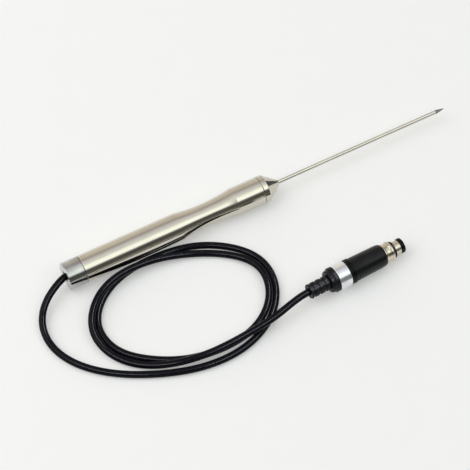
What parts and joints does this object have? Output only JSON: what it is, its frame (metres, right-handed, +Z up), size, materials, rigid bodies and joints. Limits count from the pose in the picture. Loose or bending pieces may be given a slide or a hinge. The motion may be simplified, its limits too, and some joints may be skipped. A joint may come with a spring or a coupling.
{
  "type": "grain moisture meter probe",
  "caption": "Stainless hand probe with a waisted handle and a thin needle, on a black cable lying in loose loops that ends in a round push-pull plug.",
  "frame": {"origin": "on the table, under the middle of the probe's length", "axes": "+X along the probe towards the needle's point, +Z up from the table it lies on"},
  "size_m": [0.3367, 0.1165, 0.02],
  "materials": {
    "polished_steel": "polished stainless steel",
    "needle_steel": "drawn stainless tube",
    "ground_steel": "ground point",
    "nickel": "warm nickel plate",
    "silver_ring": "turned and satin",
    "brass": "plain",
    "spring_steel": "drawn wire",
    "black_sleeve": "smooth satin black",
    "black_plastic": "satin black",
    "black_rubber": "smooth",
    "cable_jacket": "glossy",
    "board_green": "solder mask",
    "terminal_grey": "moulded",
    "lead_jacket": "insulated lead"
  },
  "bodies": {
    "probe": {"probe_tube": "needle_steel", "probe_tip": "ground_steel", "sensor_element": "brass", "sensor_lead": "lead_jacket", "needle_ferrule": "brass", "nose_cone": "polished_steel", "nose_seal": "black_rubber", "handle_tube": "polished_steel", "end_cap": "polished_steel", "end_cap_seal": "black_rubber", "cable_grommet": "black_rubber", "inner_cable": "cable_jacket", "crimp_ferrule": "silver_ring", "board_carrier": "black_plastic", "circuit_board": "board_green", "amplifier_chip": "black_plastic", "front_terminal": "terminal_grey", "rear_terminal": "terminal_grey", "board_leads": "lead_jacket", "cable": "cable_jacket", "plug_boot": "black_rubber", "gland_nut": "black_plastic", "cable_collet": "brass", "gland_seal": "black_rubber", "back_shell": "silver_ring", "rear_collar": "black_plastic", "plug_shell": "nickel", "return_spring": "spring_steel", "stop_ring": "spring_steel", "coupling_ring": "nickel", "shell_o_ring": "black_rubber", "front_seal": "black_rubber", "pin_insert": "black_plastic", "contact_pin_1": "brass", "contact_pin_2": "brass", "contact_pin_3": "brass", "contact_pin_4": "brass", "contact_pin_5": "brass", "plug_cable_end": "cable_jacket", "plug_leads": "lead_jacket"},
    "sleeve": {"release_sleeve": "black_sleeve"}
  },
  "joints": [
    {"name": "sleeve_release", "type": "slide", "parent": "probe", "child": "sleeve", "axis": [-0.9977, -0.0558, 0.0395], "range_m": [0, 0.0015], "stiffness_N_per_m": 800, "springref_m": -0.002, "deforming": ["return_spring"]}
  ]
}
